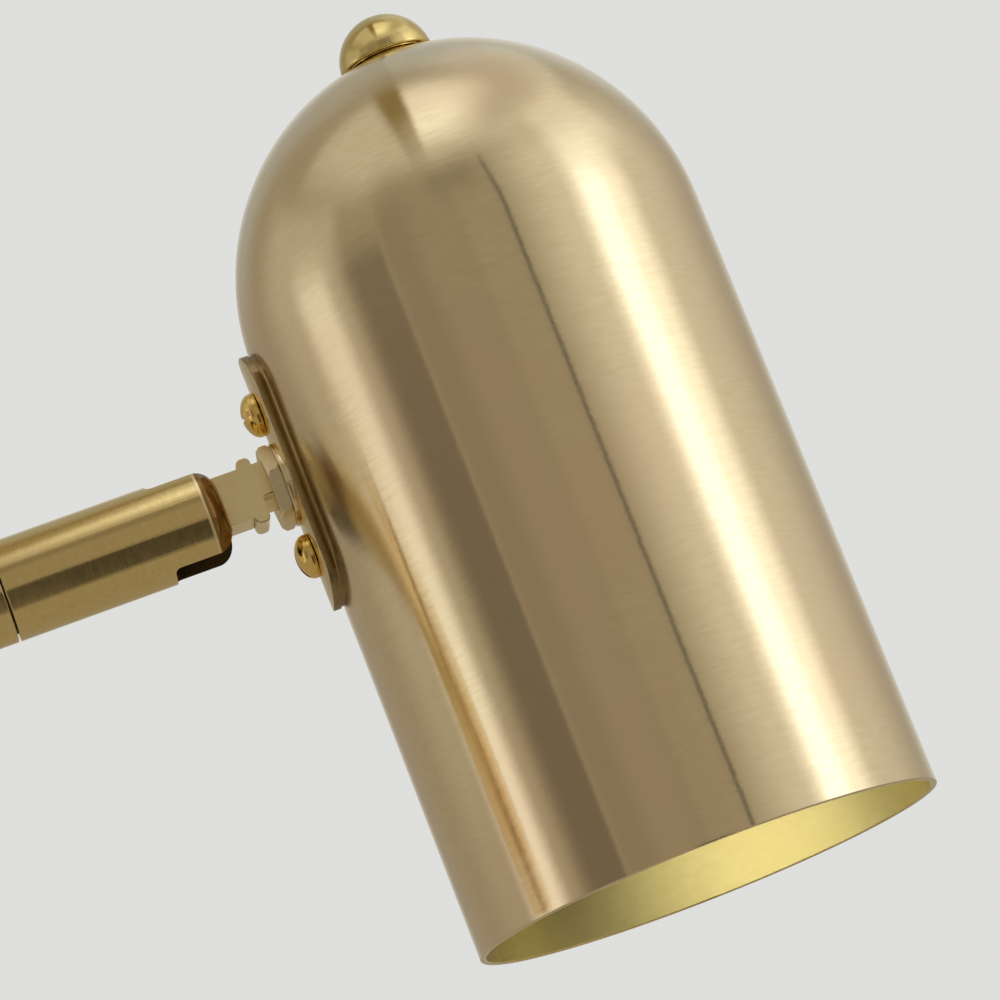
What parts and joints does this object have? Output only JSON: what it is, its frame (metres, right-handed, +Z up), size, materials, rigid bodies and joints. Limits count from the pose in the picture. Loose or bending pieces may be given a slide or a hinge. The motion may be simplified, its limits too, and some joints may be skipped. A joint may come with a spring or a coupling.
{
  "type": "swing arm wall lamp",
  "caption": "Wall lamp with a round canopy, a two-link swing arm and a tilting bullet shade that holds a bulb and a rotary switch.",
  "frame": {"origin": "centre of the wall bracket's two screw slots, on the flat back face that meets the wall", "axes": "+Y points into the wall, +Z is up, +X is along the two wall slots; at rest the arm runs out along -Y and the shade opens downwards"},
  "size_m": [0.1, 0.4705, 0.1467],
  "materials": {
    "satin_brass": "brushed satin brass, fine grain round the axis",
    "polished_brass": "polished yellow brass",
    "aged_brass": "satin brass, slightly aged",
    "plain_brass": "plain turned brass",
    "zinc_steel": "zinc-plated steel",
    "green_screw": "green ground screw",
    "spring_steel": "blued spring steel",
    "bulb_nickel": "nickel-plated screw cap",
    "solder": "tinned metal",
    "slip_plastic": "natural acetal",
    "white_porcelain": "glazed white porcelain",
    "black_phenolic": "black phenolic moulding",
    "ivory_plastic": "ivory moulded plastic",
    "frosted_glass": "frosted white glass"
  },
  "bodies": {
    "wall_part": {"crossbar": "zinc_steel", "canopy_studs": "zinc_steel", "canopy_cap_nuts": "polished_brass", "wall_canopy": "satin_brass", "ground_screw": "green_screw", "terminal_block": "ivory_plastic", "terminal_screws": "zinc_steel", "wall_stem": "satin_brass", "stem_nut": "plain_brass", "hub_fixed_barrel": "satin_brass", "hub_pivot": "plain_brass", "hub_slip_washer": "slip_plastic", "hub_wave_washer": "spring_steel", "hub_near_cap": "satin_brass", "hub_far_cap": "satin_brass"},
    "inner_arm": {"hub_moving_barrel": "satin_brass", "inner_arm_tube": "satin_brass", "inner_arm_spigots": "plain_brass", "elbow_fixed_barrel": "satin_brass", "elbow_pivot": "plain_brass", "elbow_slip_washer": "slip_plastic", "elbow_wave_washer": "spring_steel", "elbow_near_cap": "satin_brass", "elbow_far_cap": "satin_brass"},
    "outer_arm": {"elbow_moving_barrel": "satin_brass", "outer_arm_tube": "satin_brass", "outer_arm_spigot": "plain_brass", "roll_bushing": "plain_brass"},
    "sleeve": {"swivel_sleeve": "satin_brass", "tilt_pin": "polished_brass", "friction_washers": "slip_plastic", "roll_slip_washer": "slip_plastic", "roll_wave_washer": "spring_steel", "roll_nut": "plain_brass", "roll_spindle": "plain_brass"},
    "head": {"shade": "satin_brass", "outer_strap": "aged_brass", "saddle_plate": "aged_brass", "curved_washer": "aged_brass", "strap_nut": "aged_brass", "inner_nut": "plain_brass", "strap_screws": "polished_brass", "tongue": "aged_brass", "lampholder_bracket": "zinc_steel", "lampholder_body": "white_porcelain", "lampholder_shell": "plain_brass", "lampholder_contact": "spring_steel", "holder_nipple": "plain_brass", "holder_nuts": "plain_brass", "bulb_glass": "frosted_glass", "bulb_cap": "bulb_nickel", "bulb_tip": "solder", "switch_ring_nut": "polished_brass", "switch_lock_nut": "plain_brass", "switch_bushing": "plain_brass", "switch_body": "black_phenolic", "switch_lugs": "solder"},
    "knob": {"switch_knob": "polished_brass", "switch_shaft": "plain_brass"}
  },
  "joints": [
    {"name": "base_swing", "type": "hinge", "parent": "wall_part", "child": "inner_arm", "pos_m": [0, -0.058, 0.019], "axis": [0, 0, 1], "range_deg": [-90, 90]},
    {"name": "elbow_swing", "type": "hinge", "parent": "inner_arm", "child": "outer_arm", "pos_m": [0, -0.218, 0], "axis": [0, 0, -1], "range_deg": [-135, 135]},
    {"name": "sleeve_roll", "type": "hinge", "parent": "outer_arm", "child": "sleeve", "pos_m": [0, -0.347, 0], "axis": [0, 1, 0], "range_deg": [-170, 170]},
    {"name": "head_tilt", "type": "hinge", "parent": "sleeve", "child": "head", "pos_m": [0, -0.378, 0.001], "axis": [1, 0, 0], "range_deg": [-90, 90]},
    {"name": "knob_turn", "type": "hinge", "parent": "head", "child": "knob", "pos_m": [0, -0.433, 0.06], "axis": [0, 0, 1], "continuous": true}
  ]
}
